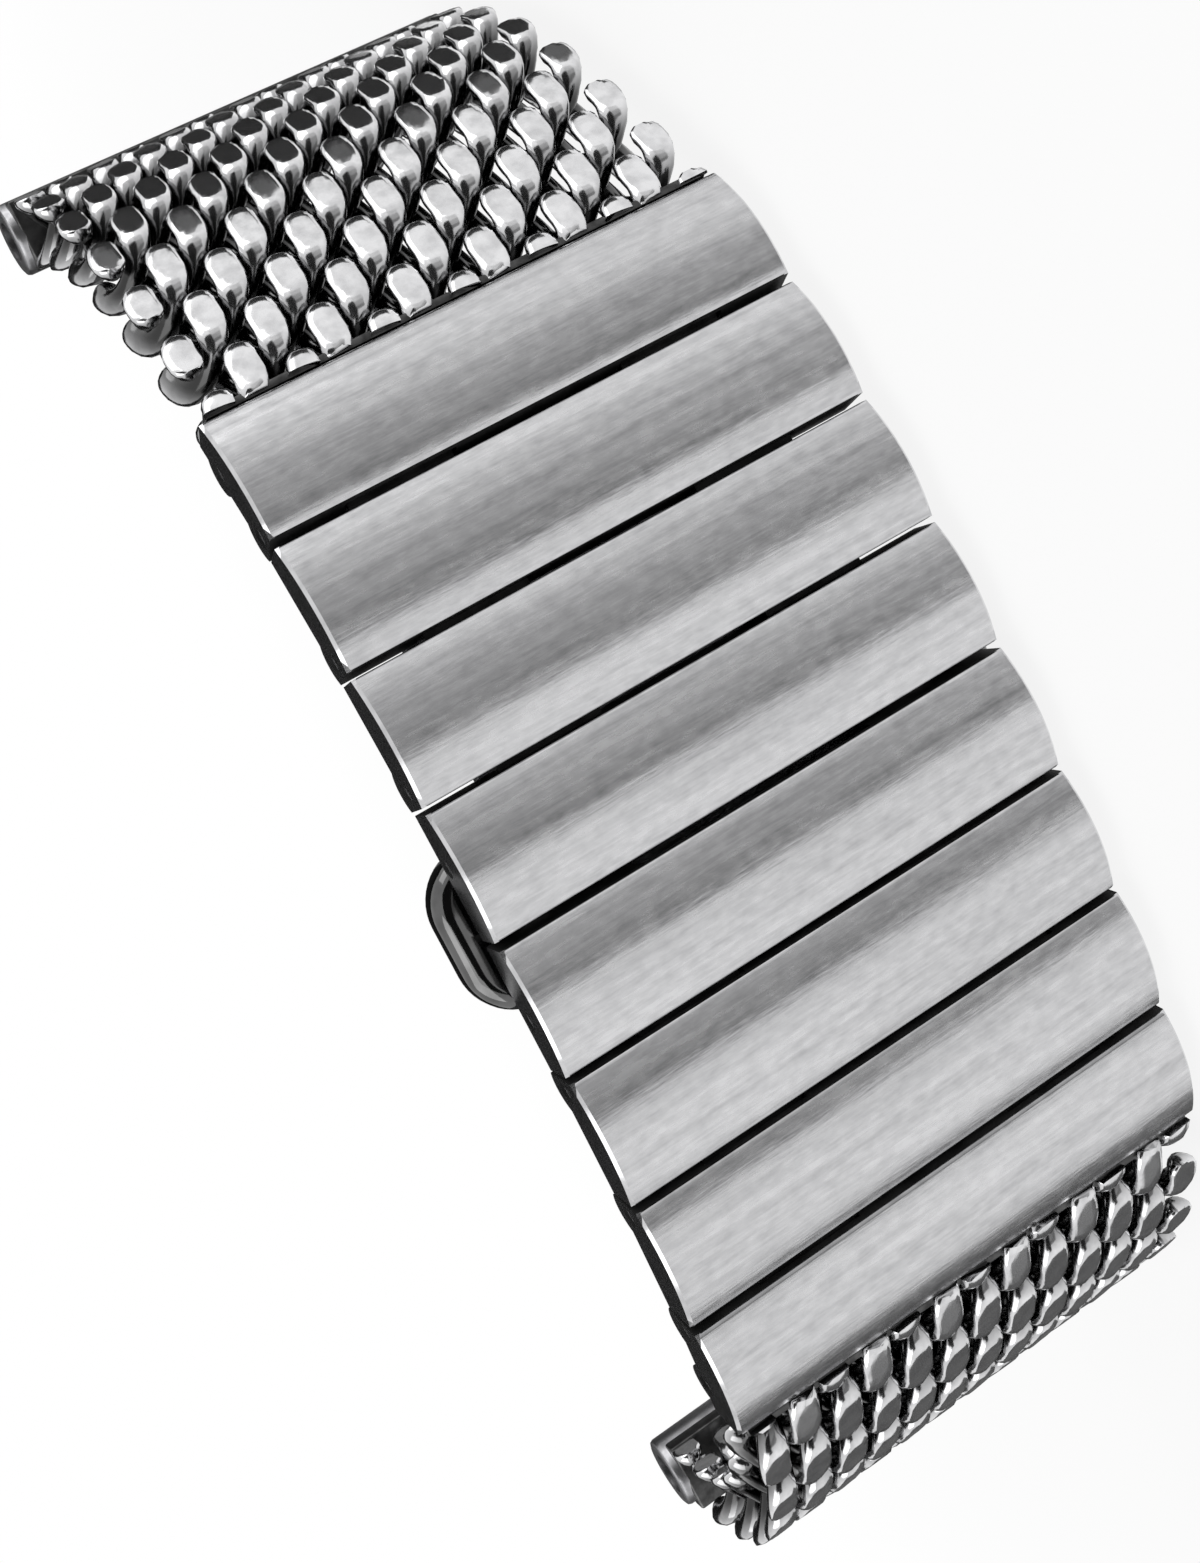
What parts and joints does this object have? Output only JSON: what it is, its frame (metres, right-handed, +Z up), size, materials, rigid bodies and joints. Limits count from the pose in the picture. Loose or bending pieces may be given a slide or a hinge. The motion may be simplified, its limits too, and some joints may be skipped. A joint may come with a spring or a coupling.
{
  "type": "watch bracelet",
  "caption": "Woven metal mesh watch bracelet with solid bars over a folding clasp that two side push buttons open.",
  "frame": {"origin": "middle of the lowest plane, where the lower push button touches the ground", "axes": "+Z up along the bars and all hinge pins, -Y out through the face of the clasp, +Y towards the wrist and the open spring bar ends"},
  "size_m": [0.0656, 0.0244, 0.024],
  "materials": {
    "bar_steel": "brushed along the bars",
    "wire_steel": "polished",
    "pin_steel": "ground",
    "button_steel": "polished",
    "clasp_steel": "satin",
    "spring_steel": "drawn wire"
  },
  "bodies": {
    "clasp": {"clasp_blade": "clasp_steel", "latch_block": "clasp_steel", "hinge_pin_right": "pin_steel", "hinge_pin_left": "pin_steel", "spring_top": "spring_steel", "spring_bottom": "spring_steel"},
    "top_button": {"button_top": "button_steel", "latch_plate_top": "clasp_steel"},
    "bottom_button": {"button_bottom": "button_steel", "latch_plate_bottom": "clasp_steel"},
    "right_arm": {"arm_right": "clasp_steel"},
    "link_4": {"bar_4": "bar_steel", "arm_pin_right": "pin_steel"},
    "link_3": {"bar_3": "bar_steel", "link_pin_3_4": "pin_steel"},
    "link_2": {"bar_2": "bar_steel", "link_pin_2_3": "pin_steel"},
    "link_1": {"bar_1": "bar_steel", "link_pin_1_2": "pin_steel", "mesh_pin_right": "pin_steel"},
    "right_mesh_1": {"mesh_end_right": "wire_steel", "mesh_right_1": "wire_steel"},
    "right_mesh_2": {"mesh_right_2": "wire_steel"},
    "right_mesh_3": {"mesh_right_3": "wire_steel"},
    "right_mesh_4": {"mesh_right_4": "wire_steel", "lug_end_right": "wire_steel"},
    "left_arm": {"arm_left": "clasp_steel"},
    "link_5": {"bar_5": "bar_steel", "arm_pin_left": "pin_steel"},
    "link_6": {"bar_6": "bar_steel", "link_pin_5_6": "pin_steel"},
    "link_7": {"bar_7": "bar_steel", "link_pin_6_7": "pin_steel"},
    "link_8": {"bar_8": "bar_steel", "link_pin_7_8": "pin_steel", "mesh_pin_left": "pin_steel"},
    "left_mesh_1": {"mesh_end_left": "wire_steel", "mesh_left_1": "wire_steel"},
    "left_mesh_2": {"mesh_left_2": "wire_steel"},
    "left_mesh_3": {"mesh_left_3": "wire_steel"},
    "left_mesh_4": {"mesh_left_4": "wire_steel", "lug_end_left": "wire_steel"}
  },
  "joints": [
    {"name": "top_button_slide", "type": "slide", "parent": "clasp", "child": "top_button", "axis": [0, 0, -1], "range_m": [0, 0.0009], "stiffness_N_per_m": 100, "springref_m": -0.0005, "deforming": ["spring_top"]},
    {"name": "bottom_button_slide", "type": "slide", "parent": "clasp", "child": "bottom_button", "axis": [0, 0, 1], "range_m": [0, 0.0009], "stiffness_N_per_m": 100, "springref_m": -0.0005, "deforming": ["spring_bottom"]},
    {"name": "right_arm_hinge", "type": "hinge", "parent": "clasp", "child": "right_arm", "pos_m": [0.01588, -0.00626, 0.012], "axis": [0, 0, 1], "range_deg": [0, 120]},
    {"name": "link_4_hinge", "type": "hinge", "parent": "right_arm", "child": "link_4", "pos_m": [0.00154, -0.01042, 0.012], "axis": [0, 0, -1], "range_deg": [0, 90]},
    {"name": "link_3_hinge", "type": "hinge", "parent": "link_4", "child": "link_3", "pos_m": [0.00443, -0.01029, 0.012], "axis": [0, 0, -1], "range_deg": [0, 8]},
    {"name": "link_2_hinge", "type": "hinge", "parent": "link_3", "child": "link_2", "pos_m": [0.00951, -0.0098, 0.012], "axis": [0, 0, -1], "range_deg": [0, 8]},
    {"name": "link_1_hinge", "type": "hinge", "parent": "link_2", "child": "link_1", "pos_m": [0.01452, -0.00882, 0.012], "axis": [0, 0, -1], "range_deg": [0, 8]},
    {"name": "right_mesh_hinge", "type": "hinge", "parent": "link_1", "child": "right_mesh_1", "pos_m": [0.01716, -0.00768, 0.012], "axis": [0, 0, 1], "range_deg": [-3, 12]},
    {"name": "right_mesh_flex_1", "type": "hinge", "parent": "right_mesh_1", "child": "right_mesh_2", "pos_m": [0.02249, -0.0045, 0.012], "axis": [0, 0, 1], "range_deg": [-4, 4]},
    {"name": "right_mesh_flex_2", "type": "hinge", "parent": "right_mesh_2", "child": "right_mesh_3", "pos_m": [0.02708, -0.00036, 0.012], "axis": [0, 0, 1], "range_deg": [-4, 4]},
    {"name": "right_mesh_flex_3", "type": "hinge", "parent": "right_mesh_3", "child": "right_mesh_4", "pos_m": [0.03013, 0.005, 0.012], "axis": [0, 0, 1], "range_deg": [-4, 4]},
    {"name": "left_arm_hinge", "type": "hinge", "parent": "clasp", "child": "left_arm", "pos_m": [-0.01879, -0.00626, 0.012], "axis": [0, 0, -1], "range_deg": [0, 120]},
    {"name": "link_5_hinge", "type": "hinge", "parent": "left_arm", "child": "link_5", "pos_m": [-0.00445, -0.01042, 0.012], "axis": [0, 0, 1], "range_deg": [0, 90]},
    {"name": "link_6_hinge", "type": "hinge", "parent": "link_5", "child": "link_6", "pos_m": [-0.00734, -0.01029, 0.012], "axis": [0, 0, 1], "range_deg": [0, 8]},
    {"name": "link_7_hinge", "type": "hinge", "parent": "link_6", "child": "link_7", "pos_m": [-0.01242, -0.0098, 0.012], "axis": [0, 0, 1], "range_deg": [0, 8]},
    {"name": "link_8_hinge", "type": "hinge", "parent": "link_7", "child": "link_8", "pos_m": [-0.01743, -0.00882, 0.012], "axis": [0, 0, 1], "range_deg": [0, 8]},
    {"name": "left_mesh_hinge", "type": "hinge", "parent": "link_8", "child": "left_mesh_1", "pos_m": [-0.02007, -0.00768, 0.012], "axis": [0, 0, -1], "range_deg": [-3, 12]},
    {"name": "left_mesh_flex_1", "type": "hinge", "parent": "left_mesh_1", "child": "left_mesh_2", "pos_m": [-0.02544, -0.00459, 0.012], "axis": [0, 0, -1], "range_deg": [-4, 4]},
    {"name": "left_mesh_flex_2", "type": "hinge", "parent": "left_mesh_2", "child": "left_mesh_3", "pos_m": [-0.02909, 0.00037, 0.012], "axis": [0, 0, -1], "range_deg": [-4, 4]},
    {"name": "left_mesh_flex_3", "type": "hinge", "parent": "left_mesh_3", "child": "left_mesh_4", "pos_m": [-0.03092, 0.00626, 0.012], "axis": [0, 0, -1], "range_deg": [-4, 4]}
  ],
  "couplings": [
    {"joint": "link_4_hinge", "follows": "right_arm_hinge", "ratio": 0.75},
    {"joint": "right_mesh_flex_2", "follows": "right_mesh_flex_1", "ratio": 1},
    {"joint": "right_mesh_flex_3", "follows": "right_mesh_flex_1", "ratio": 1},
    {"joint": "link_5_hinge", "follows": "left_arm_hinge", "ratio": 0.75},
    {"joint": "left_mesh_flex_2", "follows": "left_mesh_flex_1", "ratio": 1},
    {"joint": "left_mesh_flex_3", "follows": "left_mesh_flex_1", "ratio": 1}
  ]
}
